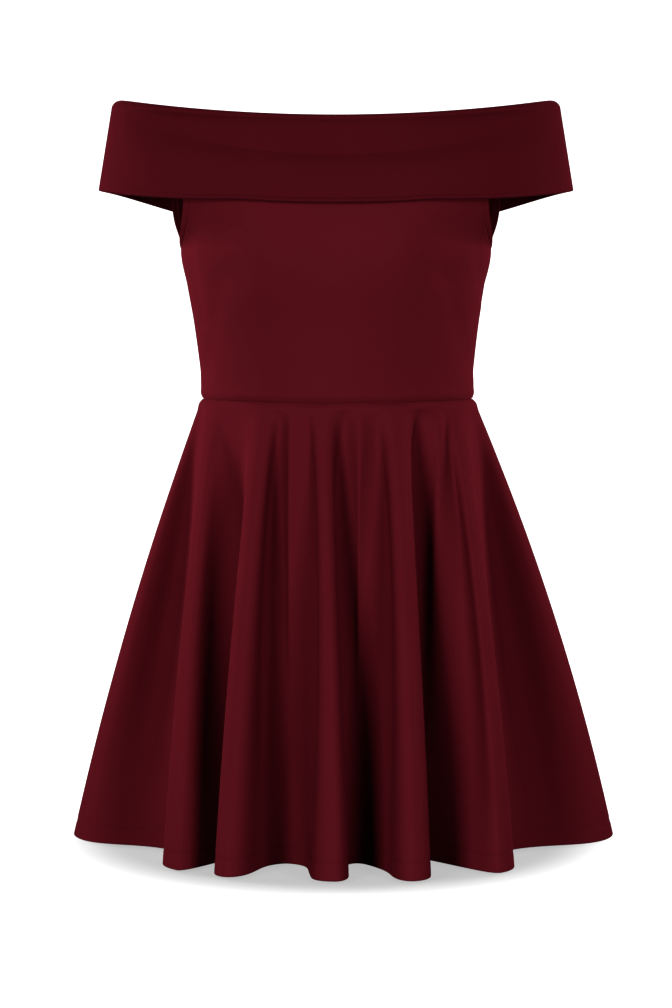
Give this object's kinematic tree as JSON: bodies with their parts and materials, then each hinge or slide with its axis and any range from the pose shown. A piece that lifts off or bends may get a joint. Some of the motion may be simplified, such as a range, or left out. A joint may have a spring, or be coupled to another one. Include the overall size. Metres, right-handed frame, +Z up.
{
  "type": "fit and flare dress",
  "caption": "Short stretch-jersey dress with a fold-over band off the shoulders, a fitted sleeveless bodice and a flared skirt in deep folds, hollow as when it is worn",
  "frame": {"origin": "on the centre line of the body, in the middle of the neck band, at the height where the band grips the upper arms", "axes": "+Z up, the front of the dress towards -Y, the wearer's left towards +X"},
  "size_m": [0.512, 0.4204, 0.695],
  "materials": {
    "jersey": "smooth crepe jersey with a soft sheen, burgundy"
  },
  "bodies": {
    "root": {"bodice_front": "jersey", "bodice_back": "jersey", "neck_band_front": "jersey", "neck_band_back": "jersey", "skirt_front": "jersey", "skirt_back": "jersey"}
  },
  "joints": []
}
